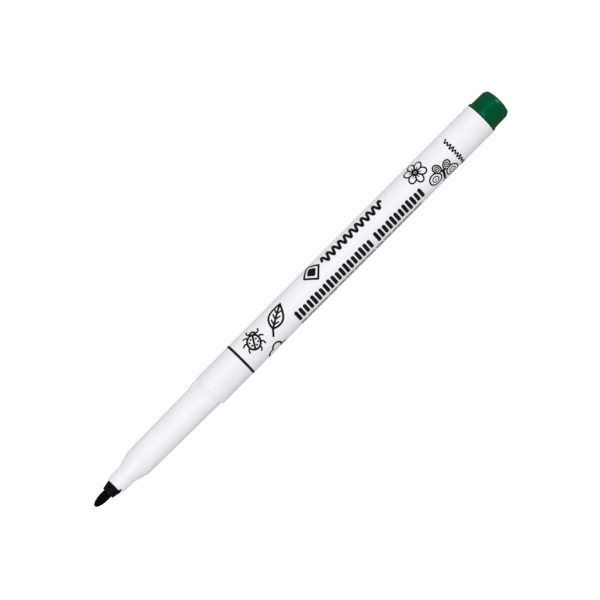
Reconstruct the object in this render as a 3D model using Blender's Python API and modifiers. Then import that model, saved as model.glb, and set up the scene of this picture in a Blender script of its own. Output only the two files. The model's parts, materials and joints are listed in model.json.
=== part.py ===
"""Slim whiteboard marker with its cap off, lying along X with the nib towards -X.

The origin is the centre of the end plug's flat rear face, and +X points out of that face. Lengths are metres.
Outlines are written in millimetres, as distance behind the nib's tip and radius from the marker's axis.
"""

import math

import bmesh
import bpy

MM = 0.001

# Driving dimensions, in millimetres
TOTAL_LENGTH = 143.4  # nib tip to the plug's flat rear face
BARREL_RADIUS = 4.65
BARREL_REAR = 136.8
CAP_STOP = 40.6  # the shoulder that a cap's rim meets
GRIP_ROOT_RADIUS = 4.17
GRIP_NOSE_RADIUS = 3.86
NOSE_CONE_REAR = 15.3
NOSE_CONE_FRONT = 11.2
NECK_RADIUS = 2.66
COLLAR_FACE = 7.1
NIB_REACH = 4.6  # how far the nib stands out of its holder
NIB_RADIUS = 1.19
PLUG_RADIUS = 4.2

# Fits, in millimetres
PUSH_GAP = 0.07  # between a push-fit piece and its bore
SEAT_GAP = 0.1  # between two faces that meet end to end

# Sizes that follow from them, in millimetres
SHOULDER_BEVEL_LENGTH = 0.16
SHOULDER_BEVEL_DEPTH = 0.08
LAND_RADIUS = 4.43
LAND_FRONT = 36.5
LAND_RAMP_REAR = 38.4
LIP_REAR = 8.8  # the low lip round the collar
LIP_CREST = 8.3
LIP_HEIGHT = 0.05
NECK_BORE = 1.85
NECK_BORE_REAR = 14.4
LEDGE_BORE = 2.7
LEDGE_BORE_FRONT = 16.6
GRIP_BORE = 3.25
GRIP_BORE_REAR = 44.0
BARREL_BORE = 3.95
BARREL_BORE_FRONT = 46.0
FIN_FRONT = 47.0  # fins along the bore that centre the reservoir
FIN_REAR = 126.0
FIN_TIP_RADIUS = 3.22
FIN_WIDTH = 0.5
LUG_LENGTH = 0.5  # how far the holder's lugs reach into notches in the collar
LUG_WIDTH = 0.68
LUG_RADIUS = 2.42
GROOVE_WIDTH = 0.5  # air groove behind each lug
GROOVE_RADIUS = 1.6
HOLDER_CONE_REAR_RADIUS = 2.1
HOLDER_CONE_FRONT_RADIUS = 1.62
HOLDER_REAR = 15.0
BARB_HEIGHT = 0.05
BARB_REAR = 14.75
BARB_FRONT = 14.5
PLUG_RIM_RADIUS = BARREL_RADIUS - 0.1
PLUG_RIM_WIDTH = 0.45
PLUG_CHAMFER_WIDTH = 0.6
PLUG_FLOOR = 140.6  # inner end of the hollow in the plug
PLUG_HOLLOW_RADIUS = 2.75
STEM_FRONT = 128.2
STEM_RADIUS = BARREL_BORE - PUSH_GAP
BEAD_MIDDLES = [134.0, 131.0]
BEAD_HEIGHT = 0.03
BEAD_LENGTH = 1.2
BEAD_TOP_LENGTH = 0.6
RESERVOIR_STOP = 21.7  # ledge in the bore that the reservoir butts against
RESERVOIR_FRONT = RESERVOIR_STOP + SEAT_GAP
RESERVOIR_REAR = STEM_FRONT - SEAT_GAP
CORE_RADIUS = 2.9
WRAP_INNER_RADIUS = 3.0
WRAP_OUTER_RADIUS = 3.12
NIB_REAR = 30.4
NIB_SOCKET_REAR = NIB_REAR + 0.3
BULLET_LENGTH = 3.5  # the nib's rounded part
TUBE_RADIUS = 0.45
TUBE_BORE = 0.27
TUBE_OFFSET = 2.45  # the breather tube's axis from the marker's axis

# Angles about the axis, in degrees from straight up towards -Y
FACE_TURN = 40.0  # the printed face's middle
LAND_TURNS = [FACE_TURN + 30.0 + 120.0 * i for i in range(3)]
LAND_GAP_WIDTH = 4.0
LUG_TURNS = [FACE_TURN + 47.0 + 180.0 * i for i in range(2)]
FIN_TURNS = [60.0 * i for i in range(6)]

SEGMENTS = 48
FINE_SEGMENTS = 16
ARC_STEPS = 3
MERGE_DISTANCE = 0.00001

SPIN_TO_X = (0.0, math.radians(90.0), 0.0)  # turns a Screw's Z axis to the marker's X axis


def clear_scene():
    for obj in list(bpy.data.objects):
        bpy.data.objects.remove(obj)


def new_collection(name):
    collection = bpy.data.collections.new(name)
    bpy.context.scene.collection.children.link(collection)
    return collection


def new_material(name, colour, roughness):
    material = bpy.data.materials.new(name)
    material.use_nodes = True
    shader = material.node_tree.nodes["Principled BSDF"]
    shader.inputs["Base Color"].default_value = (*colour, 1.0)
    shader.inputs["Roughness"].default_value = roughness
    shader.inputs["Metallic"].default_value = 0.0
    material.diffuse_color = (*colour, 1.0)
    return material


def rounded(corners):
    """The points of (distance, radius, rounding) corners, with an arc at each whose rounding isn't zero."""
    points = []
    for i, (x, r, rounding) in enumerate(corners):
        if rounding == 0.0:
            points.append((x, r))
            continue
        before = corners[i - 1]
        after = corners[(i + 1) % len(corners)]
        to_before = math.atan2(before[1] - r, before[0] - x)
        to_after = math.atan2(after[1] - r, after[0] - x)
        opening = (to_after - to_before + math.pi) % (2 * math.pi) - math.pi
        half = opening / 2
        middle = to_before + half
        reach = rounding / abs(math.sin(half))
        centre = (x + reach * math.cos(middle), r + reach * math.sin(middle))
        sweep = math.copysign(math.pi - abs(opening), half)
        for step in range(ARC_STEPS + 1):
            angle = middle + math.pi + sweep * (0.5 - step / ARC_STEPS)
            points.append((centre[0] + rounding * math.cos(angle), centre[1] + rounding * math.sin(angle)))
    return points


def half_ellipse(length, radius, steps):
    """Points from an ellipse's widest place to its tip at distance 0, the tip itself on the axis."""
    points = []
    for step in range(steps + 1):
        angle = math.pi / 2 * step / steps
        points.append((length * (1 - math.sin(angle)), radius * math.cos(angle)))
    points[-1] = (0.0, 0.0)
    return points


def turned(name, points, collection, segments=SEGMENTS, closed=True):
    """A Screw of an outline that runs down its outer side, from the rear to the front."""
    mesh = bpy.data.meshes.new(name)
    vertices = [(r * MM, 0.0, (x - TOTAL_LENGTH) * MM) for x, r in points]
    count = len(vertices)
    edges = [(i, (i + 1) % count) for i in range(count if closed else count - 1)]
    mesh.from_pydata(vertices, edges, [])
    obj = bpy.data.objects.new(name, mesh)
    obj.rotation_euler = SPIN_TO_X
    collection.objects.link(obj)
    screw = obj.modifiers.new("Spin", "SCREW")
    screw.steps = segments
    screw.render_steps = segments
    screw.use_merge_vertices = True
    screw.merge_threshold = MERGE_DISTANCE
    return obj


def block(name, low, high, turn, collection):
    """A box in (along the axis, sideways, outwards) millimetres, swung about the axis by turn degrees."""
    shape = bmesh.new()
    bmesh.ops.create_cube(shape, size=1.0)
    for vertex in shape.verts:
        share = [0.5 + c for c in vertex.co]
        place = [a + (b - a) * s for a, b, s in zip(low, high, share)]
        vertex.co = ((place[0] - TOTAL_LENGTH) * MM, place[1] * MM, place[2] * MM)
    mesh = bpy.data.meshes.new(name)
    shape.to_mesh(mesh)
    shape.free()
    obj = bpy.data.objects.new(name, mesh)
    obj.rotation_euler = (math.radians(turn), 0.0, 0.0)
    collection.objects.link(obj)
    return obj


def helper(obj):
    """Marks an object as a cutter or an addition to another piece, not a piece of its own."""
    obj.hide_render = True
    obj.display_type = "WIRE"
    return obj


def combine(obj, other, operation):
    modifier = obj.modifiers.new(other.name, "BOOLEAN")
    modifier.operation = operation
    modifier.solver = "EXACT"
    modifier.object = helper(other)


def give_material(obj, material):
    obj.data.materials.append(material)


def make_barrel(parts, cutters):
    """White moulded body: printed tube, cap stop, grip, nose cone and collar, with a stepped bore."""
    outline = [
        (BARREL_REAR, BARREL_RADIUS, 0.15),
        (CAP_STOP + SHOULDER_BEVEL_LENGTH, BARREL_RADIUS, 0.0),
        (CAP_STOP, BARREL_RADIUS - SHOULDER_BEVEL_DEPTH, 0.0),
        (CAP_STOP, GRIP_ROOT_RADIUS, 0.0),
        (NOSE_CONE_REAR, GRIP_NOSE_RADIUS, 1.0),
        (NOSE_CONE_FRONT, NECK_RADIUS, 1.0),
        (LIP_REAR, NECK_RADIUS, 0.0),
        (LIP_CREST, NECK_RADIUS + LIP_HEIGHT, 0.2),
        (COLLAR_FACE, NECK_RADIUS - 0.26, 0.1),
        (COLLAR_FACE, NECK_BORE, 0.0),
        (NECK_BORE_REAR, NECK_BORE, 0.0),
        (LEDGE_BORE_FRONT, LEDGE_BORE, 0.0),
        (RESERVOIR_STOP, LEDGE_BORE, 0.0),
        (RESERVOIR_STOP, GRIP_BORE, 0.0),
        (GRIP_BORE_REAR, GRIP_BORE, 0.0),
        (BARREL_BORE_FRONT, BARREL_BORE, 0.0),
        (BARREL_REAR, BARREL_BORE, 0.0),
    ]
    barrel = turned("barrel", rounded(outline), parts)
    combine(barrel, make_cap_lands(cutters), "UNION")
    half_width = FIN_WIDTH / 2
    fin_root = (BARREL_BORE + BARREL_RADIUS) / 2
    for i, turn in enumerate(FIN_TURNS):
        low = (FIN_FRONT, -half_width, FIN_TIP_RADIUS)
        fin = block(f"barrel_fin_{i + 1}", low, (FIN_REAR, half_width, fin_root), turn, cutters)
        combine(barrel, fin, "UNION")
    half_width = LUG_WIDTH / 2 + PUSH_GAP
    notch_rear = COLLAR_FACE + LUG_LENGTH + SEAT_GAP
    for i, turn in enumerate(LUG_TURNS):
        low = (COLLAR_FACE - 0.5, -half_width, NECK_BORE - 0.3)
        high = (notch_rear, half_width, NECK_RADIUS + 0.5)
        notch = block(f"collar_notch_{i + 1}", low, high, turn, cutters)
        combine(barrel, notch, "DIFFERENCE")
    return barrel


def make_cap_lands(cutters):
    """Three low ramped lands in front of the cap stop that a cap's mouth wedges over."""
    inner_radius = GRIP_ROOT_RADIUS - 0.25
    outline = [
        (CAP_STOP + 0.5, inner_radius, 0.0),
        (CAP_STOP + 0.5, LAND_RADIUS, 0.0),
        (LAND_RAMP_REAR, LAND_RADIUS, 0.6),
        (LAND_FRONT, GRIP_ROOT_RADIUS - 0.06, 0.0),
        (LAND_FRONT, inner_radius, 0.0),
    ]
    lands = turned("cap_lands", rounded(outline), cutters)
    half_gap = LAND_GAP_WIDTH / 2
    for i, turn in enumerate(LAND_TURNS):
        low = (LAND_FRONT - 1.0, -half_gap, inner_radius / 2)
        high = (CAP_STOP + 1.0, half_gap, BARREL_RADIUS + 1.0)
        gap = block(f"land_gap_{i + 1}", low, high, turn + 60.0, cutters)
        combine(lands, gap, "DIFFERENCE")
    return lands


def make_nib_holder(parts, cutters):
    """Black collet: a cone in front of the collar, lugs in its notches, and a stem pushed into the neck.

    The stem ends in a barb, and an air groove runs along it behind each lug.
    """
    stem_radius = NECK_BORE - PUSH_GAP
    bore = NIB_RADIUS + PUSH_GAP
    cone_rear = COLLAR_FACE - SEAT_GAP
    lug_rear = COLLAR_FACE + LUG_LENGTH
    outline = [
        (HOLDER_REAR, stem_radius - 0.25, 0.0),
        (BARB_REAR, stem_radius + BARB_HEIGHT, 0.0),
        (BARB_FRONT, stem_radius, 0.0),
        (cone_rear, stem_radius, 0.0),
        (cone_rear, HOLDER_CONE_REAR_RADIUS, 0.05),
        (NIB_REACH, HOLDER_CONE_FRONT_RADIUS, 0.08),
        (NIB_REACH, bore, 0.05),
        (HOLDER_REAR, bore, 0.0),
    ]
    holder = turned("nib_holder", rounded(outline), parts)
    for i, turn in enumerate(LUG_TURNS):
        low = (cone_rear - 0.2, -LUG_WIDTH / 2, stem_radius - 0.08)
        lug = block(f"holder_lug_{i + 1}", low, (lug_rear, LUG_WIDTH / 2, LUG_RADIUS), turn, cutters)
        combine(holder, lug, "UNION")
        low = (lug_rear, -GROOVE_WIDTH / 2, GROOVE_RADIUS)
        high = (HOLDER_REAR + 1.0, GROOVE_WIDTH / 2, LUG_RADIUS)
        groove = block(f"air_groove_{i + 1}", low, high, turn, cutters)
        combine(holder, groove, "DIFFERENCE")
    return holder


def make_nib(parts):
    """Bullet nib on a long fibre rod that reaches into the reservoir."""
    tip = half_ellipse(BULLET_LENGTH, NIB_RADIUS, 8)
    rod = [(NIB_REAR, 0.0), (NIB_REAR, NIB_RADIUS - 0.4), (NIB_REAR - 0.6, NIB_RADIUS)]
    return turned("nib", rod + tip, parts, closed=False)


def make_reservoir_core(parts, cutters):
    """Fibre rod that holds the ink, with a socket for the nib's rear and a groove for the breather tube."""
    outline = [
        (RESERVOIR_REAR, 0.0, 0.0),
        (RESERVOIR_REAR, CORE_RADIUS, 0.2),
        (RESERVOIR_FRONT, CORE_RADIUS, 0.2),
        (RESERVOIR_FRONT, NIB_RADIUS + SEAT_GAP, 0.0),
        (NIB_SOCKET_REAR, NIB_RADIUS + SEAT_GAP, 0.0),
        (NIB_SOCKET_REAR, 0.0, 0.0),
    ]
    core = turned("reservoir_core", rounded(outline), parts, closed=False)
    groove_outline = [
        (RESERVOIR_REAR + 2.0, 0.0),
        (RESERVOIR_REAR + 2.0, TUBE_RADIUS + SEAT_GAP),
        (RESERVOIR_FRONT - 2.0, TUBE_RADIUS + SEAT_GAP),
        (RESERVOIR_FRONT - 2.0, 0.0),
    ]
    groove = turned("breather_groove", groove_outline, cutters, FINE_SEGMENTS, closed=False)
    groove.location = breather_place()
    combine(core, groove, "DIFFERENCE")
    return core


def make_reservoir_wrap(parts):
    """Clear film sleeve round the fibre rod, open at both ends."""
    front = RESERVOIR_FRONT + 0.3
    rear = RESERVOIR_REAR - 0.3
    outline = [
        (rear, WRAP_OUTER_RADIUS),
        (front, WRAP_OUTER_RADIUS),
        (front, WRAP_INNER_RADIUS),
        (rear, WRAP_INNER_RADIUS),
    ]
    return turned("reservoir_wrap", outline, parts)


def breather_place():
    """The breather tube's axis, under the marker's axis."""
    return (0.0, 0.0, -TUBE_OFFSET * MM)


def make_breather_tube(parts):
    """Thin tube along the fibre rod that lets air past the ink."""
    front = RESERVOIR_FRONT + 0.2
    rear = RESERVOIR_REAR - 0.2
    outline = [(rear, TUBE_RADIUS), (front, TUBE_RADIUS), (front, TUBE_BORE), (rear, TUBE_BORE)]
    tube = turned("breather_tube", outline, parts, FINE_SEGMENTS)
    tube.location = breather_place()
    return tube


def make_end_plug(parts):
    """Green plug: rounded button, rim against the barrel, and a hollow stem with two sealing beads."""
    rim_front = BARREL_REAR + SEAT_GAP
    rim_rear = rim_front + PLUG_RIM_WIDTH
    outline = [
        (TOTAL_LENGTH, 0.0, 0.0),
        (TOTAL_LENGTH, PLUG_RADIUS, 1.8),
        (rim_rear + PLUG_CHAMFER_WIDTH, PLUG_RADIUS, 0.0),
        (rim_rear, PLUG_RIM_RADIUS, 0.1),
        (rim_front, PLUG_RIM_RADIUS, 0.1),
        (rim_front, STEM_RADIUS, 0.0),
    ]
    for middle in BEAD_MIDDLES:
        outline += [
            (middle + BEAD_LENGTH / 2, STEM_RADIUS, 0.0),
            (middle + BEAD_TOP_LENGTH / 2, STEM_RADIUS + BEAD_HEIGHT, 0.0),
            (middle - BEAD_TOP_LENGTH / 2, STEM_RADIUS + BEAD_HEIGHT, 0.0),
            (middle - BEAD_LENGTH / 2, STEM_RADIUS, 0.0),
        ]
    outline += [
        (STEM_FRONT + 1.0, STEM_RADIUS, 0.0),
        (STEM_FRONT, STEM_RADIUS - 0.35, 0.0),
        (STEM_FRONT, PLUG_HOLLOW_RADIUS, 0.0),
        (PLUG_FLOOR, PLUG_HOLLOW_RADIUS - 0.15, 0.4),
        (PLUG_FLOOR, 0.0, 0.0),
    ]
    return turned("end_plug", rounded(outline), parts, closed=False)


def main():
    clear_scene()
    parts = new_collection("whiteboard_marker")
    cutters = new_collection("cutters")
    white = new_material("white_plastic", (0.86, 0.86, 0.88), 0.35)
    black = new_material("black_plastic", (0.012, 0.012, 0.013), 0.4)
    felt = new_material("inked_felt", (0.004, 0.004, 0.004), 0.95)
    fibre = new_material("inked_fibre", (0.004, 0.08, 0.035), 0.9)
    film = new_material("clear_film", (0.7, 0.75, 0.72), 0.2)
    tube = new_material("natural_plastic", (0.75, 0.78, 0.76), 0.4)
    green = new_material("green_plastic", (0.004, 0.085, 0.03), 0.35)
    give_material(make_barrel(parts, cutters), white)
    give_material(make_nib_holder(parts, cutters), black)
    give_material(make_nib(parts), felt)
    give_material(make_reservoir_core(parts, cutters), fibre)
    give_material(make_reservoir_wrap(parts), film)
    give_material(make_breather_tube(parts), tube)
    give_material(make_end_plug(parts), green)


main()
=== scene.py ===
"""The looks of a slim whiteboard marker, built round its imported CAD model.

Outlines are written in millimetres, as distance behind the nib's tip and radius from the marker's axis.
Turns round the axis are degrees from straight up towards -Y.
The print is laid out in millimetres too: distance behind the tip, and arc length down from the middle of the
printed face. Its headings are degrees, from straight back along the marker towards straight down the face.
"""

import json
import math

import bmesh
import bpy
from mathutils import Matrix, Vector, noise


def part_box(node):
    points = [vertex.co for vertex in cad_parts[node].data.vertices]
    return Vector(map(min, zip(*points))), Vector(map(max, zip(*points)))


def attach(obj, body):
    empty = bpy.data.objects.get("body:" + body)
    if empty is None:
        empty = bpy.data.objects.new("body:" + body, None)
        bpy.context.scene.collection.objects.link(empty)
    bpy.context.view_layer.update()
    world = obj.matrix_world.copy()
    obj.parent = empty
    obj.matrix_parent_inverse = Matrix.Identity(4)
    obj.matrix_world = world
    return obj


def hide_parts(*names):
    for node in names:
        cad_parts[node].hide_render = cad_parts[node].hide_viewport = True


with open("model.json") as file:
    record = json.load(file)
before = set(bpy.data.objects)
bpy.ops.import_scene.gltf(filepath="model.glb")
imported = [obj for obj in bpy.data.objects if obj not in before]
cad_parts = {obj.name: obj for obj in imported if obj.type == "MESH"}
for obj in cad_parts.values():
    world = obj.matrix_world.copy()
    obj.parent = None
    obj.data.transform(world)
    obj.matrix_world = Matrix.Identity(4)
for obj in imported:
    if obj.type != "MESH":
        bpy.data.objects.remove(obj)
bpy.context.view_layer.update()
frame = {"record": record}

MM = 0.001


def node_extent(node):
    """A CAD node's front end and rear end behind the nib's tip, and its radius, in millimetres."""
    low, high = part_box(node)
    return (low.x - TIP) / MM, (high.x - TIP) / MM, high.z / MM


def mount_distance(name):
    """How far behind the nib's tip a mount is, in millimetres."""
    mount = next(m for m in frame["record"]["mounts"] if m["name"] == name)
    return (mount["pos_m"][0] - TIP) / MM


# Places and sizes that the CAD model gives
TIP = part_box("nib")[0].x
COLLAR_FACE, BARREL_REAR, BARREL_RADIUS = node_extent("barrel")
HOLDER_FACE, HOLDER_REAR, _ = node_extent("nib_holder")
_, NIB_REAR, NIB_RADIUS = node_extent("nib")
CORE_FRONT, CORE_REAR, CORE_RADIUS = node_extent("reservoir_core")
WRAP_FRONT, WRAP_REAR, WRAP_RADIUS = node_extent("reservoir_wrap")
TUBE_FRONT, TUBE_REAR, _ = node_extent("breather_tube")
STEM_FRONT, TOTAL_LENGTH, PLUG_RIM_RADIUS = node_extent("end_plug")
CAP_STOP = mount_distance("cap_stop")
TUBE_LOW, TUBE_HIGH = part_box("breather_tube")
TUBE_RADIUS = (TUBE_HIGH.z - TUBE_LOW.z) / MM / 2
TUBE_DROP = -(TUBE_HIGH.z + TUBE_LOW.z) / MM / 2

PUSH_GAP = 0.07  # between a pushed-in piece and its bore
SEAT_GAP = 0.1  # between the plug's rim and the barrel's end
STEP = 0.02  # between two rings that make a sharp step

# The barrel's outside
SHOULDER_BEVEL_LENGTH = 0.16
SHOULDER_BEVEL_DEPTH = 0.08
LAND_RADIUS = 4.43
LAND_FRONT = 36.5
LAND_RAMP_REAR = 38.8
LAND_SINK = 0.06  # how far below the grip's root radius the lands' ramps start
LAND_RING_STEP = 0.2
GRIP_ROOT_RADIUS = 4.17
GRIP_NOSE_RADIUS = 3.86
NOSE_CONE_REAR = 15.3
NOSE_CONE_FRONT = 11.2
NECK_RADIUS = 2.66
NECK_FRONT = 8.9
COLLAR_REAR = 8.3
COLLAR_RADIUS = NECK_RADIUS + 0.05
COLLAR_FACE_RADIUS = NECK_RADIUS - 0.26
NOTCH_REAR = COLLAR_FACE + 0.6
NOTCH_REAR_RADIUS = NECK_RADIUS - 0.08
NOTCH_WIDTH = 0.82

# The barrel's inside
NECK_BORE = 1.85
NECK_BORE_REAR = 14.4
STOP_BORE = 2.7
STOP_BORE_FRONT = 16.6
RESERVOIR_STOP = 21.7
GRIP_BORE = 3.25
GRIP_BORE_REAR = 44.0
BARREL_BORE = 3.95
BARREL_BORE_FRONT = 46.0
FIN_FRONT = 47.0
FIN_REAR = 126.0
FIN_RADIUS = 3.22
FIN_WIDTH = 0.56

# The nib and its holder. What shows of them is up to 0.08 mm fuller than in the CAD model, and so is the
# plug, because their dark outlines would look too thin against a white floor.
HOLDER_CONE_REAR = COLLAR_FACE - 0.04
HOLDER_CONE_REAR_RADIUS = 2.18
HOLDER_CONE_FRONT_RADIUS = 1.7
HOLDER_STEM_RADIUS = NECK_BORE - PUSH_GAP
HOLDER_BORE = NIB_RADIUS + PUSH_GAP
NIB_BULGE = 0.07  # how much the wet felt swells in front of its holder
LUG_FRONT = HOLDER_CONE_REAR + 0.03
LUG_REAR = COLLAR_FACE + 0.5
LUG_RADIUS = 2.42
LUG_WIDTH = 0.68
GROOVE_RADIUS = 1.6
GROOVE_WIDTH = 0.5

# The end plug
PLUG_RADIUS = 4.26
STEM_RADIUS = BARREL_BORE - PUSH_GAP

# Turns round the axis, in degrees
FACE_TURN = 40.0
LAND_TURNS = [FACE_TURN + 30.0 + 120.0 * i for i in range(3)]
LAND_HALF_ARC = 34.0
LAND_EDGE = 9.0
LUG_TURNS = [FACE_TURN + 47.0 + 180.0 * i for i in range(2)]
FIN_TURNS = [60.0 * i for i in range(6)]

# How fine the meshes are
SEGMENTS = 192
FINE_SEGMENTS = 96
TUBE_SEGMENTS = 32
ARC_STEPS = 7
SMOOTH_ANGLE = math.radians(32.0)
NO_RADIUS = 1e-6  # a ring smaller than this is one point


# ---------------------------------------------------------------- mesh tools

def rounded(corners, steps=ARC_STEPS):
    """The points of (distance, radius, rounding) corners, with an arc at each that has a rounding."""
    points = []
    for i, (x, r, rounding) in enumerate(corners):
        if rounding == 0.0:
            points.append((x, r))
            continue
        before = corners[i - 1]
        after = corners[(i + 1) % len(corners)]
        to_before = math.atan2(before[1] - r, before[0] - x)
        to_after = math.atan2(after[1] - r, after[0] - x)
        opening = (to_after - to_before + math.pi) % (2 * math.pi) - math.pi
        half = opening / 2
        middle = to_before + half
        reach = rounding / abs(math.sin(half))
        centre_x = x + reach * math.cos(middle)
        centre_r = r + reach * math.sin(middle)
        sweep = math.copysign(math.pi - abs(opening), half)
        for step in range(steps + 1):
            angle = middle + math.pi + sweep * (0.5 - step / steps)
            points.append((centre_x + rounding * math.cos(angle), centre_r + rounding * math.sin(angle)))
    return points


def spaced(start, end, step):
    """Evenly spaced values from start to end, both included, no further apart than step."""
    rounding_slack = 1e-9
    count = max(1, math.ceil(abs(end - start) / step - rounding_slack))
    return [start + (end - start) * i / count for i in range(count + 1)]


def turn_between(turn, other):
    """The angle between two turns, 0 to 180 degrees."""
    return abs((turn - other + 180.0) % 360.0 - 180.0)


def nearest_turn(turn, others):
    """The angle from a turn to the nearest of others."""
    return min(turn_between(turn, other) for other in others)


def half_angle(width, radius):
    """Half the angle, in degrees, that a width takes up at a radius."""
    return math.degrees(width / 2 / radius)


def smooth_step(value, low, high):
    """0 at low, 1 at high, and an eased curve between them."""
    share = min(1.0, max(0.0, (value - low) / (high - low)))
    return share * share * (3.0 - 2.0 * share)


def around_axis(x, r, turn):
    """The point at a distance behind the tip, a radius and a turn, in metres."""
    angle = math.radians(turn)
    return (TIP + x * MM, -r * math.sin(angle) * MM, r * math.cos(angle) * MM)


def surface_noise(x, turn, along, around):
    """Noise on a turned surface. along and around say how fast it changes in each direction."""
    angle = math.radians(turn)
    return noise.noise(Vector((x * along, math.cos(angle) * around, math.sin(angle) * around)))


def new_piece(name, mesh):
    piece = bpy.data.objects.new(name, mesh)
    bpy.context.scene.collection.objects.link(piece)
    return piece


def add_ring(shell, x, r, segments, shape):
    """The vertices of one outline point carried round the axis: a single one if it lies on the axis."""
    if r < NO_RADIUS:
        return [shell.verts.new(around_axis(x, 0.0, 0.0))]
    ring = []
    for i in range(segments):
        turn = 360.0 * i / segments
        place = shape(x, r, turn) if shape else (x, r)
        ring.append(shell.verts.new(around_axis(*place, turn)))
    return ring


def add_band(shell, first, second, segments):
    """The faces between two rings: quads, or triangles where one ring is a single vertex."""
    for i in range(segments):
        j = (i + 1) % segments
        corners = [
            first[i % len(first)],
            first[j % len(first)],
            second[j % len(second)],
            second[i % len(second)],
        ]
        corners = [vertex for k, vertex in enumerate(corners) if vertex is not corners[k - 1]]
        if len(corners) > 2:
            shell.faces.new(corners)


def turned(name, points, segments=SEGMENTS, shape=None, closed=True, drop=0.0):
    """A (distance, radius) outline revolved about the axis.

    shape moves each point by its turn, closed joins the outline's ends, and drop lowers the whole piece.
    """
    shell = bmesh.new()
    rings = [add_ring(shell, x, r, segments, shape) for x, r in points]
    pairs = list(zip(rings, rings[1:]))
    if closed:
        pairs.append((rings[-1], rings[0]))
    for first, second in pairs:
        add_band(shell, first, second, segments)
    bmesh.ops.recalc_face_normals(shell, faces=shell.faces)
    bmesh.ops.translate(shell, verts=shell.verts, vec=(0.0, 0.0, -drop * MM))
    mesh = bpy.data.meshes.new(name)
    shell.to_mesh(mesh)
    shell.free()
    mesh.shade_smooth()
    mesh.set_sharp_from_angle(angle=SMOOTH_ANGLE)
    return new_piece(name, mesh)


def finish_piece(piece, body, slot, material, *nodes):
    """Gives a piece its material, ties it to its body, and hides the CAD nodes it stands for. slot is not
    used.
    """
    piece.data.materials.append(material)
    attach(piece, body)
    if nodes:
        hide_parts(*nodes)
    return piece


# ---------------------------------------------------------------- turned pieces

def land_height(x):
    """The lands' radius at a distance behind the tip: a ramp that eases into a level top."""
    foot = GRIP_ROOT_RADIUS - LAND_SINK
    return foot + (LAND_RADIUS - foot) * smooth_step(x, LAND_FRONT, LAND_RAMP_REAR)


def barrel_shape(x, r, turn):
    """Adds the cap lands outside, the fins inside and the collar's notches to the barrel's outline."""
    if LAND_FRONT <= x <= CAP_STOP and GRIP_BORE < r < LAND_RADIUS:
        from_land = nearest_turn(turn, LAND_TURNS)
        window = 1.0 - smooth_step(from_land, LAND_HALF_ARC - LAND_EDGE, LAND_HALF_ARC)
        r = max(r, r + (land_height(x) - r) * window)
    if FIN_FRONT <= x <= FIN_REAR and r <= BARREL_BORE:
        if nearest_turn(turn, FIN_TURNS) < half_angle(FIN_WIDTH, BARREL_BORE):
            r = FIN_RADIUS
    if x < NOTCH_REAR and nearest_turn(turn, LUG_TURNS) < half_angle(NOTCH_WIDTH, LUG_RADIUS):
        x = NOTCH_REAR
    return x, r


def make_barrel(material):
    """One moulding: collar, neck, nose cone, grip, shoulder and printed tube, with its stepped bore."""
    slope = (GRIP_ROOT_RADIUS - GRIP_NOSE_RADIUS) / (CAP_STOP - NOSE_CONE_REAR)
    land_rings = []
    for x in spaced(CAP_STOP, LAND_FRONT, LAND_RING_STEP):
        land_rings.append((x, GRIP_ROOT_RADIUS - slope * (CAP_STOP - x), 0.0))
    outline = [
        (BARREL_REAR, BARREL_RADIUS, 0.15),
        (CAP_STOP + SHOULDER_BEVEL_LENGTH, BARREL_RADIUS, 0.12),
        (CAP_STOP, BARREL_RADIUS - SHOULDER_BEVEL_DEPTH, 0.03),
        *land_rings,
        (NOSE_CONE_REAR, GRIP_NOSE_RADIUS, 0.7),
        (NOSE_CONE_FRONT, NECK_RADIUS, 1.0),
        (NECK_FRONT, NECK_RADIUS, 0.6),
        (COLLAR_REAR, COLLAR_RADIUS, 0.3),
        (NOTCH_REAR, NOTCH_REAR_RADIUS, 0.0),
        (COLLAR_FACE, COLLAR_FACE_RADIUS, 0.08),
        (COLLAR_FACE, NECK_BORE, 0.06),
        (NECK_BORE_REAR, NECK_BORE, 0.3),
        (STOP_BORE_FRONT, STOP_BORE, 0.3),
        (RESERVOIR_STOP, STOP_BORE, 0.0),
        (RESERVOIR_STOP, GRIP_BORE, 0.1),
        (GRIP_BORE_REAR, GRIP_BORE, 0.5),
        (BARREL_BORE_FRONT, BARREL_BORE, 0.5),
        (FIN_FRONT - STEP, BARREL_BORE, 0.0),
        (FIN_FRONT, BARREL_BORE, 0.0),
        (FIN_REAR, BARREL_BORE, 0.0),
        (FIN_REAR + STEP, BARREL_BORE, 0.0),
        (BARREL_REAR, BARREL_BORE, 0.12),
    ]
    piece = turned("barrel_body", rounded(outline), shape=barrel_shape)
    return finish_piece(piece, "barrel", "white_plastic", material, "barrel")


def holder_shape(x, r, turn):
    """Raises the lugs that key the holder in the collar, and sinks an air groove behind each."""
    from_lug = nearest_turn(turn, LUG_TURNS)
    if LUG_FRONT <= x < LUG_REAR and from_lug < half_angle(LUG_WIDTH, LUG_RADIUS):
        r = LUG_RADIUS
    elif x > LUG_REAR and r > GROOVE_RADIUS and from_lug < half_angle(GROOVE_WIDTH, GROOVE_RADIUS):
        r = GROOVE_RADIUS
    return x, r


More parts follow.
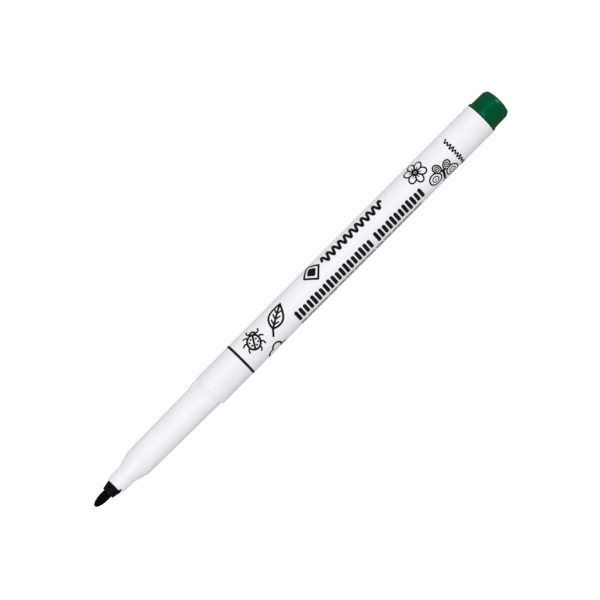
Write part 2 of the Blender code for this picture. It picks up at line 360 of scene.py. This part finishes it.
def make_nib_holder(material):
    """A cone that shows, and a barbed stem in the neck. Its bore flares round the swollen felt."""
    barb_front = 14.5
    barb_length = 0.25
    barb_height = 0.05
    stem_taper = 0.25
    flare_length = 1.4
    outline = [
        (HOLDER_REAR, HOLDER_STEM_RADIUS - stem_taper, 0.0),
        (barb_front + barb_length, HOLDER_STEM_RADIUS + barb_height, 0.0),
        (barb_front, HOLDER_STEM_RADIUS, 0.0),
        (LUG_REAR + STEP, HOLDER_STEM_RADIUS, 0.0),
        (LUG_REAR - STEP, HOLDER_STEM_RADIUS, 0.0),
        (LUG_FRONT, HOLDER_STEM_RADIUS, 0.0),
        (HOLDER_CONE_REAR, HOLDER_STEM_RADIUS, 0.0),
        (HOLDER_CONE_REAR, HOLDER_CONE_REAR_RADIUS, 0.05),
        (HOLDER_FACE, HOLDER_CONE_FRONT_RADIUS, 0.1),
        (HOLDER_FACE, HOLDER_BORE + NIB_BULGE, 0.06),
        (HOLDER_FACE + flare_length, HOLDER_BORE, 0.4),
        (HOLDER_REAR, HOLDER_BORE, 0.0),
    ]
    piece = turned("holder_body", rounded(outline), shape=holder_shape)
    return finish_piece(piece, "barrel", "black_plastic", material, "nib_holder")


def felt_shape(x, r, turn):
    """Fibres along the rod, the ground surface of its bullet tip, and the bulge of the wet felt there."""
    ground_length = 3.0
    bulge_end = HOLDER_FACE + 1.2
    least_radius = 0.01
    fibres = 0.016 * surface_noise(x, turn, along=0.5, around=9.0)
    ground = 0.02 * surface_noise(x, turn, along=6.0, around=9.0)
    tip_share = 1.0 - smooth_step(x, 0.0, ground_length)
    lift = fibres * (1.0 - tip_share) + ground * tip_share
    bulge = NIB_BULGE * (1.0 - smooth_step(x, HOLDER_FACE, bulge_end))
    return x, max(least_radius, r * (1.0 + (bulge + lift) / NIB_RADIUS))


def make_nib(material):
    """A felt rod with a bevelled rear end and an elliptical bullet in front."""
    bullet_length = 3.5
    bullet_steps = 36
    bevel_length = 0.6
    bevel_depth = 0.4
    end_gap = 0.3
    points = [
        (NIB_REAR, 0.0),
        (NIB_REAR, NIB_RADIUS - bevel_depth),
        (NIB_REAR - bevel_length, NIB_RADIUS),
    ]
    points += [(x, NIB_RADIUS) for x in spaced(NIB_REAR - 1.0, bullet_length + end_gap, 0.5)]
    for step in range(bullet_steps):
        angle = math.pi / 2 * step / bullet_steps
        points.append((bullet_length * (1.0 - math.sin(angle)), NIB_RADIUS * math.cos(angle)))
    points.append((0.0, 0.0))
    piece = turned("felt_nib", points, FINE_SEGMENTS, felt_shape, closed=False)
    return finish_piece(piece, "nib", "inked_felt", material, "nib")


def make_reservoir_core(material):
    """Bundled fibre, grooved along its length, with a channel under it for the breather tube."""
    socket_end = NIB_REAR + 0.3
    socket_radius = NIB_RADIUS + 0.1
    channel_turn = 180.0
    channel_half_arc = 12.0
    channel_radius = TUBE_DROP - TUBE_RADIUS - 0.1
    groove_depth = 0.03
    bevel = 0.15

    def core_shape(x, r, turn):
        if r > socket_radius + 0.1:
            r = r - groove_depth + groove_depth * surface_noise(x, turn, along=0.15, around=14.0)
            if turn_between(turn, channel_turn) < channel_half_arc:
                r = min(r, channel_radius)
        return x, r

    points = [(CORE_REAR, 0.0), (CORE_REAR, 1.2), (CORE_REAR, 2.0), (CORE_REAR, CORE_RADIUS - bevel)]
    points += [(x, CORE_RADIUS) for x in spaced(CORE_REAR - bevel, CORE_FRONT + bevel, 2.0)]
    points += [(CORE_FRONT, CORE_RADIUS - bevel), (CORE_FRONT, socket_radius)]
    points += [(socket_end, socket_radius), (socket_end, 0.0)]
    piece = turned("ink_reservoir", points, FINE_SEGMENTS, core_shape, closed=False)
    return finish_piece(piece, "barrel", "inked_fibre", material, "reservoir_core")


def tube_outline(front, rear, radius, bore, rounding, steps):
    """A plain tube's outline, with all four edges rounded."""
    corners = ((rear, radius), (front, radius), (front, bore), (rear, bore))
    return rounded([(x, r, rounding) for x, r in corners], steps)


def make_reservoir_wrap(material):
    """The film round the fibre."""
    thickness = 0.12
    points = tube_outline(WRAP_FRONT, WRAP_REAR, WRAP_RADIUS, WRAP_RADIUS - thickness, 0.02, 2)
    piece = turned("film_sleeve", points, FINE_SEGMENTS)
    return finish_piece(piece, "barrel", "clear_film", material, "reservoir_wrap")


def make_breather_tube(material):
    """The air tube, in its channel below the axis."""
    bore_share = 0.6
    points = tube_outline(TUBE_FRONT, TUBE_REAR, TUBE_RADIUS, TUBE_RADIUS * bore_share, 0.04, 3)
    piece = turned("air_tube", points, TUBE_SEGMENTS, drop=TUBE_DROP)
    return finish_piece(piece, "barrel", "natural_plastic", material, "breather_tube")


def make_end_plug(material):
    """A cup: rounded rear with a moulding dimple, chamfer, rim, and a stem with two sealing beads."""
    rim_radius = PLUG_RIM_RADIUS + 0.05
    rim_front = BARREL_REAR + SEAT_GAP
    rim_rear = rim_front + 0.45
    dimple_floor = TOTAL_LENGTH - 0.12
    dimple_floor_radius = 0.55
    dimple_radius = 0.7
    flat_radius = 2.1
    dome_front = TOTAL_LENGTH - 1.5
    chamfer_width = 0.6
    bead_radius = STEM_RADIUS + 0.03
    bead_half_width = 0.6
    bead_half_top = 0.3
    cup_floor = 140.6
    cup_floor_radius = 2.6
    cup_mouth_radius = 2.75
    lead_in_length = 1.0
    lead_in_depth = 0.35
    outline = [
        (dimple_floor, 0.0, 0.0),
        (dimple_floor, dimple_floor_radius, 0.1),
        (TOTAL_LENGTH, dimple_radius, 0.1),
        (TOTAL_LENGTH, flat_radius, 2.0),
        (TOTAL_LENGTH - 0.4, 3.65, 0.9),
        (dome_front, PLUG_RADIUS - 0.03, 1.1),
        (rim_rear + chamfer_width, PLUG_RADIUS + 0.02, 0.2),
        (rim_rear, rim_radius, 0.12),
        (rim_front, rim_radius, 0.16),
        (rim_front, STEM_RADIUS, 0.0),
    ]
    for middle in (134.0, 131.0):
        outline += [
            (middle + bead_half_width, STEM_RADIUS, 0.0),
            (middle + bead_half_top, bead_radius, 0.1),
            (middle - bead_half_top, bead_radius, 0.1),
            (middle - bead_half_width, STEM_RADIUS, 0.0),
        ]
    outline += [
        (STEM_FRONT + lead_in_length, STEM_RADIUS, 0.3),
        (STEM_FRONT, STEM_RADIUS - lead_in_depth, 0.1),
        (STEM_FRONT, cup_mouth_radius, 0.1),
        (cup_floor, cup_floor_radius, 0.4),
        (cup_floor, 0.0, 0.0),
    ]
    piece = turned("rear_plug", rounded(outline), closed=False)
    return finish_piece(piece, "end_plug", "green_plastic", material, "end_plug")


# ---------------------------------------------------------------- print

INK_PROUD = 0.012
INK_SUNK = 0.03
INK_STEP = 0.25  # longest stretch of a stroke between its rungs
INK_ACROSS = 0.3  # longest stretch across a stroke
OVERPRINT_RISE = 0.0004  # between one stroke's skin and the next one's
OVERPRINT_LEVELS = 25
CAP_RUNGS = 4
CAP_ANGLE = 84.0  # how far round a stroke's end its last rung is, in degrees
LINE_WIDTH = 0.55
ARM_WIDTH = 0.44  # legs and feelers
FINE_WIDTH = 0.41  # petals, wings and veins


class Print:
    """Strokes of ink gathered into one piece. Each new stroke lies a hair higher, as overprinting does."""

    def __init__(self, name):
        self.name = name
        self.shell = bmesh.new()
        self.strokes = 0

    def stroke(self, path, width=LINE_WIDTH, closed=False):
        """A line of ink along (along, around) points, with round ends if it isn't closed."""
        points = resampled(path, closed)
        rungs = [(point, normal, width / 2) for point, normal in with_normals(points, closed)]
        if not closed:
            rungs = round_end(rungs[0], rungs[1])[::-1] + rungs + round_end(rungs[-1], rungs[-2])
        self.strokes += 1
        proud = INK_PROUD + OVERPRINT_RISE * (self.strokes % OVERPRINT_LEVELS)
        across = max(1, math.ceil(width / INK_ACROSS))
        sections = [self.section(rung, across, proud) for rung in rungs]
        pairs = list(zip(sections, sections[1:]))
        if closed:
            pairs.append((sections[-1], sections[0]))
        for first, second in pairs:
            for i in range(len(first)):
                self.shell.faces.new((first[i - 1], first[i], second[i], second[i - 1]))
        if not closed:
            self.shell.faces.new(sections[0])
            self.shell.faces.new(sections[-1][::-1])

    def section(self, rung, across, proud):
        """One rung's vertices: over the top from left to right, and back underneath."""
        (along, around), normal, half = rung
        shares = [2.0 * i / across - 1.0 for i in range(across + 1)]
        top = [(share, proud) for share in shares]
        bottom = [(share, -INK_SUNK) for share in reversed(shares)]
        made = []
        for share, height in top + bottom:
            x = along + normal[0] * half * share
            turn = FACE_TURN + math.degrees((around + normal[1] * half * share) / BARREL_RADIUS)
            made.append(self.shell.verts.new(around_axis(x, BARREL_RADIUS + height, turn)))
        return made

    def dot(self, centre, diameter):
        """A round spot: a stroke so short that only its ends show."""
        offset = 0.01
        along, around = centre
        self.stroke([(along - offset, around), (along + offset, around)], diameter)

    def finish(self, material):
        """Makes the gathered strokes into a piece that rides on the barrel."""
        bmesh.ops.recalc_face_normals(self.shell, faces=self.shell.faces)
        mesh = bpy.data.meshes.new(self.name)
        self.shell.to_mesh(mesh)
        self.shell.free()
        return finish_piece(new_piece(self.name, mesh), "barrel", "print_ink", material)


def resampled(path, closed):
    """The path with points added so that none of its stretches is longer than INK_STEP."""
    ends = path[1:] + path[:1] if closed else path[1:]
    points = []
    for start, end in zip(path, ends):
        count = max(1, math.ceil(math.dist(start, end) / INK_STEP))
        for i in range(count):
            share = i / count
            points.append(tuple(a + (b - a) * share for a, b in zip(start, end)))
    if not closed:
        points.append(path[-1])
    return points


def with_normals(points, closed):
    """Each point with the unit direction across the path there."""
    count = len(points)
    made = []
    for i, point in enumerate(points):
        before = points[i - 1] if i > 0 or closed else point
        after = points[(i + 1) % count] if i < count - 1 or closed else point
        ahead = (after[0] - before[0], after[1] - before[1])
        length = math.hypot(*ahead)
        made.append((point, (-ahead[1] / length, ahead[0] / length)))
    return made


def round_end(end, inner):
    """Rungs that narrow beyond a stroke's end, as a half circle."""
    (x, y), normal, half = end
    ahead = (x - inner[0][0], y - inner[0][1])
    length = math.hypot(*ahead)
    rungs = []
    for i in range(1, CAP_RUNGS + 1):
        angle = math.radians(CAP_ANGLE) * i / CAP_RUNGS
        reach = half * math.sin(angle) / length
        rungs.append(((x + ahead[0] * reach, y + ahead[1] * reach), normal, half * math.cos(angle)))
    return rungs


def ellipse(centre, along_radius, around_radius, heading=0.0, start=0.0, end=360.0, count=36):
    """Points on an ellipse turned by heading degrees. A whole one leaves out its last point."""
    full = end - start >= 360.0
    cosine = math.cos(math.radians(heading))
    sine = math.sin(math.radians(heading))
    points = []
    for i in range(count if full else count + 1):
        angle = math.radians(start + (end - start) * i / count)
        a = along_radius * math.cos(angle)
        b = around_radius * math.sin(angle)
        points.append((centre[0] + a * cosine - b * sine, centre[1] + a * sine + b * cosine))
    return points


def polar(centre, radius, heading):
    """The point at a radius and a heading from a centre."""
    angle = math.radians(heading)
    return (centre[0] + radius * math.cos(angle), centre[1] + radius * math.sin(angle))


def print_ring(material):
    """The thin ring behind the cap stop."""
    middle = 51.6
    half_width = 0.34
    edge = 0.004
    outline = [
        (middle + half_width, BARREL_RADIUS + INK_PROUD, edge),
        (middle - half_width, BARREL_RADIUS + INK_PROUD, edge),
        (middle - half_width, BARREL_RADIUS - INK_SUNK, 0.0),
        (middle + half_width, BARREL_RADIUS - INK_SUNK, 0.0),
    ]
    return finish_piece(turned("print_ring", rounded(outline, 2)), "barrel", "print_ink", material)


def draw_beetle(ink, centre, heading):
    """A round body with a midline and spots, a head, two curled feelers and six legs."""
    body_radius = 1.8
    head_radius = 0.85
    head_half_arc = 95.0
    curl_radius = 0.65
    spot_width = 0.55
    ink.stroke(ellipse(centre, body_radius * 1.05, body_radius * 0.95, heading), closed=True)
    ink.stroke([polar(centre, body_radius, heading + 180.0), polar(centre, body_radius, heading)])
    head = polar(centre, body_radius, heading)
    ink.stroke(ellipse(head, head_radius, head_radius, heading, -head_half_arc, head_half_arc, 16))
    for side in (-1.0, 1.0):
        for angle in (50.0, 92.0, 134.0):
            hip = polar(centre, body_radius, heading + side * angle)
            knee = polar(centre, body_radius + 0.6, heading + side * (angle + 2.0))
            foot = polar(centre, body_radius + 1.1, heading + side * (angle + 14.0))
            ink.stroke([hip, knee, foot], ARM_WIDTH)
        root = polar(head, head_radius, heading + side * 30.0)
        outward = heading + side * 60.0
        curl = polar(root, curl_radius, outward)
        ink.stroke(ellipse(curl, curl_radius, curl_radius * side, outward, 180.0, 0.0, 14), ARM_WIDTH)
        for angle, radius in ((42.0, 1.0), (92.0, 1.1), (142.0, 1.0)):
            ink.dot(polar(centre, radius, heading + side * angle), spot_width)


def draw_leaf(ink, stem, base, tip, half_width):
    """A pointed leaf with a midrib and side veins, on a bent stem."""
    span = (tip[0] - base[0], tip[1] - base[1])
    length = math.hypot(*span)
    fullness = 0.8  # below 1 moves the widest part towards the base
    midrib_share = 0.9
    vein_rise = 0.16

    def place(share, offset):
        """The point a share of the way from the leaf's base to its tip, and offset to its side."""
        return (
            base[0] + span[0] * share - span[1] / length * offset,
            base[1] + span[1] * share + span[0] / length * offset,
        )

    for side in (-1.0, 1.0):
        edge = []
        for share in spaced(0.0, 1.0, 1 / 24):
            edge.append(place(share, side * half_width * math.sin(math.pi * share ** fullness)))
        ink.stroke(edge)
        for share in (0.14, 0.36, 0.58):
            vein_end = place(share + vein_rise, side * half_width * 0.5)
            ink.stroke([place(share, 0.0), vein_end], FINE_WIDTH)
    ink.stroke([stem, base, place(midrib_share, 0.0)])


def draw_cloud(ink, centre, bumps):
    """A cloud outline, round the outside of overlapping (offset along, offset around, radius) circles."""
    points = []
    for heading in spaced(0.0, 360.0, 3.0)[:-1]:
        cosine = math.cos(math.radians(heading))
        sine = math.sin(math.radians(heading))
        reaches = []
        for along, around, radius in bumps:
            forward = along * cosine + around * sine
            sideways = along * sine - around * cosine
            if abs(sideways) < radius:
                reaches.append(forward + math.sqrt(radius * radius - sideways * sideways))
        points.append(polar(centre, max(reaches), heading))
    ink.stroke(points, closed=True)


def draw_flower(ink, centre, radius, petals=6):
    """Oval petals with a line in each, round a ring and a spot. Inner sizes are shares of the radius."""
    first_petal = -87.0
    for i in range(petals):
        heading = 360.0 / petals * i + first_petal
        middle = polar(centre, radius * 0.62, heading)
        ink.stroke(ellipse(middle, radius * 0.38, radius * 0.3, heading), FINE_WIDTH, closed=True)
        ink.stroke([polar(centre, radius * 0.28, heading), polar(centre, radius * 0.52, heading)], 0.26)
    ink.stroke(ellipse(centre, radius * 0.17, radius * 0.17, count=20), 0.32, closed=True)
    ink.dot(centre, radius * 0.16)


def draw_butterfly(ink, centre, heading):
    """Four oval wings with a ring and a spot in each, a body and two feelers."""
    wings = ((36.0, 2.35, 1.2, 0.95), (97.0, 2.6, 1.75, 1.5))  # angle, reach, half length, half breadth
    for side in (-1.0, 1.0):
        for angle, reach, length, breadth in wings:
            outward = heading + side * angle
            middle = polar(centre, reach, outward)
            ink.stroke(ellipse(middle, length, breadth, outward), FINE_WIDTH, closed=True)
            ink.stroke(ellipse(middle, length * 0.5, breadth * 0.5, outward), 0.3, closed=True)
            ink.dot(middle, 0.4)
        feeler = polar(centre, 1.3, heading + 180.0)
        ink.stroke([feeler, polar(feeler, 1.2, heading + 180.0 + side * 22.0)], 0.3)
        shoulder = polar(centre, 0.3, heading)
        ink.stroke([shoulder, polar(shoulder, 1.1, heading + side * 36.0)], 0.34)
    ink.stroke([polar(centre, 0.9, heading), polar(centre, 1.3, heading + 180.0)], 0.75)


def print_drawings(material):
    """Plain line drawings: two groups on the printed face, and two more on the back."""
    bumps = ((0.3, -1.4, 1.35), (-1.45, -0.4, 1.2), (1.9, 0.5, 1.1), (0.2, 0.9, 1.3))
    ink = Print("print_drawings")
    draw_beetle(ink, centre=(56.8, -0.75), heading=-58.0)
    draw_leaf(ink, stem=(61.3, 1.7), base=(62.55, 0.25), tip=(68.2, -3.1), half_width=1.85)
    draw_cloud(ink, centre=(60.0, 6.3), bumps=bumps)
    draw_flower(ink, centre=(115.2, -2.2), radius=3.0)
    draw_butterfly(ink, centre=(120.3, 3.5), heading=-72.0)
    back = math.pi * BARREL_RADIUS
    draw_flower(ink, centre=(58.2, back - 2.8), radius=2.8, petals=5)
    draw_leaf(ink, stem=(61.6, back + 3.9), base=(63.0, back + 2.9), tip=(68.6, back + 0.2), half_width=1.5)
    draw_cloud(ink, centre=(114.6, back - 2.2), bumps=bumps)
    draw_beetle(ink, centre=(121.0, back + 1.4), heading=40.0)
    return ink.finish(material)


def print_badge(material):
    """A diamond outline with a small solid diamond inside."""
    ink = Print("print_badge")
    centre = (79.3, -3.1)
    for radius, width in ((2.6, 0.55), (1.15, 0.6), (0.6, 0.6)):
        ink.stroke([polar(centre, radius, 90.0 * i) for i in range(4)], width, closed=True)
    ink.dot(centre, 0.6)
    return ink.finish(material)


def print_wave(material):
    """A bold wavy line beside the badge."""
    start = 83.1
    end = 104.0
    middle = -3.1
    height = 2.1
    period = 2.0
    points = []
    for along in spaced(start, end, period / 16):
        points.append((along, middle - height / 2 * math.sin(2 * math.pi * (along - start) / period)))
    ink = Print("print_wave")
    ink.stroke(points, 0.74)
    return ink.finish(material)


def print_bars(material):
    """Two groups of bold upright bars, whose heights rise and fall."""
    groups = ((69.3, 19), (97.2, 12))  # where each starts, and its number of bars
    middle = 2.76
    pitch = 1.41
    width = 1.0
    tallest = 3.2
    swell = 0.25
    bars_per_wave = 4.0
    ink = Print("print_bars")
    for start, count in groups:
        for i in range(count):
            height = tallest - swell * (1.0 - math.cos(2 * math.pi * i / bars_per_wave))
            half = (height - width) / 2
            along = start + pitch * i
            ink.stroke([(along, middle - half), (along, middle + half)], width)
    return ink.finish(material)


def print_dashes(material):
    """Three rows of fine dashes of uneven length below the bars, out of the main view."""
    front = 69.0
    rear = 112.0
    last_start = 111.5
    top_row = 5.5
    row_pitch = 0.9
    shortest = 1.6
    variation = 1.5
    space = 0.75
    ink = Print("print_dashes")
    for row in range(3):
        around = top_row + row_pitch * row
        along = front
        i = 0
        while along < last_start:
            length = shortest + variation * abs(math.sin(2.4 * i + 1.7 * row))
            ink.stroke([(along, around), (min(along + length, rear), around)], 0.44)
            along += length + space
            i += 1
    return ink.finish(material)


def print_round_wave(material):
    """A fine wavy line that runs part of the way round the barrel behind the butterfly."""
    middle = 125.95
    top = -2.75
    bottom = 9.6
    period = 0.95
    swell_period = 3.1
    points = []
    for around in spaced(top, bottom, period / 12):
        swell = 0.48 + 0.16 * math.cos(2 * math.pi * around / swell_period)
        points.append((middle + swell * math.sin(2 * math.pi * around / period), around))
    ink = Print("print_round_wave")
    ink.stroke(points, 0.38)
    return ink.finish(material)


# ---------------------------------------------------------------- materials

WHITE = (1.0, 1.0, 1.0)
FULL = (0.0, 1.0)  # the whole range of a mask
POLYPROPYLENE_IOR = 1.49


class Shader:
    """A Principled material whose nodes read the piece's own place in metres."""

    def __init__(self, name):
        self.material = bpy.data.materials.new(name)
        self.material.use_nodes = True
        self.tree = self.material.node_tree
        self.tree.nodes.clear()
        self.out = self.add("ShaderNodeOutputMaterial")
        self.main = self.add("ShaderNodeBsdfPrincipled")
        self.link(self.main, "BSDF", self.out, "Surface")
        self.place = self.add("ShaderNodeTexCoord")

    def add(self, kind, inputs=None, **settings):
        node = self.tree.nodes.new(kind)
        for key, value in settings.items():
            setattr(node, key, value)
        for key, value in (inputs or {}).items():
            node.inputs[key].default_value = value
        return node

    def link(self, source, output, target, socket):
        self.tree.links.new(source.outputs[output], target.inputs[socket])

    def set(self, name, value):
        """Gives one input of the Principled shader a plain value."""
        self.main.inputs[name].default_value = value

    def noise(self, size_mm, detail=3.0, stretch=1.0):
        """Noise whose features are about size_mm across, and stretch times as long along the marker."""
        across = 1.0 / (size_mm * MM)
        mapping = self.add("ShaderNodeMapping", {"Scale": (across / stretch, across, across)})
        self.link(self.place, "Object", mapping, "Vector")
        texture = self.add("ShaderNodeTexNoise", {"Scale": 1.0, "Detail": detail, "Roughness": 0.55})
        self.link(mapping, "Vector", texture, "Vector")
        return texture

    def ranged(self, source, output, span, to):
        """The source's value over a span, taken to another range."""
        values = {"From Min": span[0], "From Max": span[1], "To Min": to[0], "To Max": to[1]}
        node = self.add("ShaderNodeMapRange", values)
        self.link(source, output, node, "Value")
        return node

    def blended(self, source, output, first, second):
        """A colour between two, by the source's value. first may be a blend itself."""
        node = self.add("ShaderNodeMix", data_type="RGBA")
        mix = {socket.identifier: socket for socket in node.inputs}
        if isinstance(first, bpy.types.Node):
            self.tree.links.new(colour_output(first), mix["A_Color"])
        else:
            mix["A_Color"].default_value = (*first, 1.0)
        mix["B_Color"].default_value = (*second, 1.0)
        self.link(source, output, node, "Factor")
        return node

    def coloured(self, blend):
        """Takes the base colour from a blend."""
        self.tree.links.new(colour_output(blend), self.main.inputs["Base Color"])

    def rough(self, source, span, to):
        """Takes the roughness from noise."""
        self.link(self.ranged(source, "Fac", span, to), "Result", self.main, "Roughness")

    def bumps(self, *layers):
        """Stacks (noise, height in mm) layers of bump."""
        below = None
        for source, height in layers:
            node = self.add("ShaderNodeBump", {"Strength": 1.0, "Distance": height * MM})
            self.link(source, "Fac", node, "Height")
            if below:
                self.link(below, "Normal", node, "Normal")
            below = node
        self.link(below, "Normal", self.main, "Normal")


def colour_output(mix):
    return next(socket for socket in mix.outputs if socket.identifier == "Result_Color")


def moulded_plastic(name, colour, shade, roughness, worn, wear, shine=0.5, edge_shine=None, tint=WHITE):
    """Moulded polypropylene: faint mottling, fine grain, and handling scuffs in the worn colour.

    shine is its gloss seen square-on, and edge_shine its gloss towards its outline.
    """
    s = Shader(name)
    mottle = s.noise(6.0, detail=4.0)
    grain = s.noise(0.12)
    scuffs = s.noise(0.35, detail=5.0, stretch=14.0)
    tone = s.ranged(mottle, "Fac", span=(0.35, 0.65), to=FULL)
    base = s.blended(tone, "Result", shade, colour)
    scuffed = s.ranged(scuffs, "Fac", span=(0.62, 0.78), to=(0.0, wear))
    s.coloured(s.blended(scuffed, "Result", base, worn))
    s.rough(scuffs, span=(0.3, 0.8), to=(roughness - 0.05, roughness + 0.12))
    s.set("IOR", POLYPROPYLENE_IOR)
    s.set("Specular Tint", (*tint, 1.0))
    if edge_shine is None:
        s.set("Specular IOR Level", shine)
    else:
        facing = s.add("ShaderNodeLayerWeight", {"Blend": 0.5})
        gloss = s.ranged(facing, "Facing", span=(0.1, 0.5), to=(shine, edge_shine))
        s.link(gloss, "Result", s.main, "Specular IOR Level")
    s.bumps((grain, 0.003), (scuffs, 0.006), (mottle, 0.012))
    return s.material


def inked_fibre(name, colour, shade, fibre_size, height, shine):
    """Bonded fibres that run along the marker, soaked with ink."""
    s = Shader(name)
    fibres = s.noise(fibre_size, detail=4.0, stretch=9.0)
    clumps = s.noise(fibre_size * 7.0)
    tone = s.ranged(fibres, "Fac", span=(0.35, 0.7), to=FULL)
    s.coloured(s.blended(tone, "Result", shade, colour))
    s.rough(clumps, span=(0.3, 0.7), to=(0.72, 0.95))
    s.set("Specular IOR Level", shine)
    s.bumps((fibres, height), (clumps, height * 1.5))
    return s.material


def clear_film(name):
    """Wrapping film, slightly cloudy, with fine creases along it."""
    s = Shader(name)
    creases = s.noise(0.8, stretch=8.0)
    tone = s.ranged(creases, "Fac", span=(0.35, 0.65), to=FULL)
    s.coloured(s.blended(tone, "Result", (0.55, 0.66, 0.6), (0.72, 0.8, 0.76)))
    s.rough(creases, span=(0.3, 0.7), to=(0.12, 0.3))
    s.set("Alpha", 0.6)
    s.bumps((creases, 0.01))
    return s.material


def print_ink(name):
    """Screen-printed black: slightly uneven cover, with a satin skin."""
    s = Shader(name)
    cover = s.noise(0.25, detail=4.0)
    tone = s.ranged(cover, "Fac", span=(0.35, 0.75), to=FULL)
    s.coloured(s.blended(tone, "Result", (0.002, 0.002, 0.002), (0.006, 0.006, 0.006)))
    s.rough(cover, span=(0.3, 0.7), to=(0.4, 0.55))
    s.set("Specular IOR Level", 0.12)
    s.bumps((cover, 0.0015))
    return s.material


# ---------------------------------------------------------------- stage

FLOOR_HALF = 4.0
FLOOR_GAP = 0.03  # between the barrel and the floor
FLOOR_GREY = (0.56, 0.56, 0.56, 1.0)
FLOOR_GLOW = 0.9
CAMERA_DISTANCE = 1.142
CAMERA_FOOT = 7.0  # where the camera's square-on view meets the marker, behind the tip
AIM = 72.6  # the point of the axis in the middle of the picture
PICTURE_TURN = 45.14  # how far the marker's axis is turned up from the picture's horizontal
LENS = 274.75
FAR_CLIP = 20.0
WORLD_STRENGTH = 0.62


def make_floor():
    """A pale floor. The camera sees it brighter than the marker does, so that its shadow is faint."""
    shell = bmesh.new()
    bmesh.ops.create_grid(shell, x_segments=8, y_segments=8, size=FLOOR_HALF)
    mesh = bpy.data.meshes.new("floor")
    shell.to_mesh(mesh)
    shell.free()
    floor = new_piece("floor", mesh)
    floor.location = (0.0, 0.0, -(BARREL_RADIUS + FLOOR_GAP) * MM)
    s = Shader("pale_floor")
    s.set("Base Color", FLOOR_GREY)
    s.set("Roughness", 0.9)
    s.set("Specular IOR Level", 0.0)
    s.set("Emission Color", (*WHITE, 1.0))
    path = s.add("ShaderNodeLightPath")
    glow = s.ranged(path, "Is Camera Ray", span=FULL, to=(0.0, FLOOR_GLOW))
    s.link(glow, "Result", s.main, "Emission Strength")
    mesh.materials.append(s.material)


def make_camera():
    """A long lens square-on to the marker's front end, rolled so that the marker runs up to the right."""
    face = math.radians(FACE_TURN)
    outward = Vector((0.0, -math.sin(face), math.cos(face)))
    place = Vector((TIP + CAMERA_FOOT * MM, 0.0, 0.0)) + outward * CAMERA_DISTANCE
    aim = Vector((TIP + AIM * MM, 0.0, 0.0))
    back = (place - aim).normalized()
    along = Vector((1.0, 0.0, 0.0))
    along = (along - back * along.dot(back)).normalized()
    above = back.cross(along)
    roll = math.radians(PICTURE_TURN)
    right = along * math.cos(roll) - above * math.sin(roll)
    up = along * math.sin(roll) + above * math.cos(roll)
    data = bpy.data.cameras.new("camera")
    data.lens = LENS
    data.clip_end = FAR_CLIP
    camera = bpy.data.objects.new("camera", data)
    camera.matrix_world = Matrix((right, up, back)).transposed().to_4x4()
    camera.location = place
    bpy.context.scene.collection.objects.link(camera)
    bpy.context.scene.camera = camera


def make_light(name, place, size, power):
    """A square soft light at place, aimed at the marker's middle, unseen by the camera."""
    data = bpy.data.lights.new(name, "AREA")
    data.shape = "SQUARE"
    data.size = size
    data.energy = power
    light = bpy.data.objects.new(name, data)
    middle = Vector((TIP / 2, 0.0, 0.0))
    light.location = Vector(place)
    light.rotation_mode = "QUATERNION"
    light.rotation_quaternion = (middle - light.location).to_track_quat("-Z", "Y")
    light.visible_camera = False
    bpy.context.scene.collection.objects.link(light)


def make_world():
    """Even white light from all round."""
    world = bpy.data.worlds.new("studio")
    world.use_nodes = True
    background = world.node_tree.nodes["Background"]
    background.inputs["Color"].default_value = (*WHITE, 1.0)
    background.inputs["Strength"].default_value = WORLD_STRENGTH
    bpy.context.scene.world = world


def make_studio():
    """A big softbox beyond the nib, a low rim light beyond the plug, and a small light over the plug."""
    bpy.context.scene.view_settings.view_transform = "Standard"
    make_world()
    make_light("softbox", place=(-0.8, -0.8, 0.93), size=0.9, power=8.3)
    make_light("rim_light", place=(0.93, -0.12, 0.25), size=0.4, power=3.2)
    make_light("top_light", place=(0.12, -0.38, 1.14), size=0.47, power=1.0)
    make_floor()
    make_camera()


# ---------------------------------------------------------------- build

def build_pieces():
    """Makes the materials, then every piece from the nib to the plug, then the print."""
    white = moulded_plastic(
        "white_pp",
        colour=(0.86, 0.855, 0.9),
        shade=(0.835, 0.83, 0.87),
        roughness=0.36,
        worn=(0.68, 0.68, 0.69),
        wear=0.3,
    )
    black = moulded_plastic(
        "black_pp",
        colour=(0.003, 0.003, 0.0035),
        shade=(0.002, 0.002, 0.0025),
        roughness=0.5,
        worn=(0.02, 0.02, 0.02),
        wear=0.3,
        shine=0.05,
    )
    green = moulded_plastic(
        "green_pp",
        colour=(0.0, 0.066, 0.021),
        shade=(0.0, 0.054, 0.017),
        roughness=0.22,
        worn=(0.006, 0.12, 0.055),
        wear=0.25,
        shine=0.45,
        edge_shine=0.05,
        tint=(0.03, 1.0, 0.6),
    )
    natural = moulded_plastic(
        "natural_pp",
        colour=(0.75, 0.78, 0.76),
        shade=(0.7, 0.73, 0.71),
        roughness=0.4,
        worn=(0.6, 0.6, 0.6),
        wear=0.2,
    )
    felt = inked_fibre(
        "inked_felt",
        colour=(0.004, 0.004, 0.004),
        shade=(0.0003, 0.0003, 0.0003),
        fibre_size=0.03,
        height=0.008,
        shine=0.03,
    )
    fibre = inked_fibre(
        "inked_fibre",
        colour=(0.008, 0.12, 0.05),
        shade=(0.002, 0.05, 0.02),
        fibre_size=0.05,
        height=0.02,
        shine=0.08,
    )
    make_barrel(white)
    make_nib_holder(black)
    make_nib(felt)
    make_reservoir_core(fibre)
    make_reservoir_wrap(clear_film("wrap_film"))
    make_breather_tube(natural)
    make_end_plug(green)
    ink = print_ink("black_ink")
    for make_print in (
        print_ring,
        print_drawings,
        print_badge,
        print_wave,
        print_bars,
        print_dashes,
        print_round_wave,
    ):
        make_print(ink)


build_pieces()
make_studio()
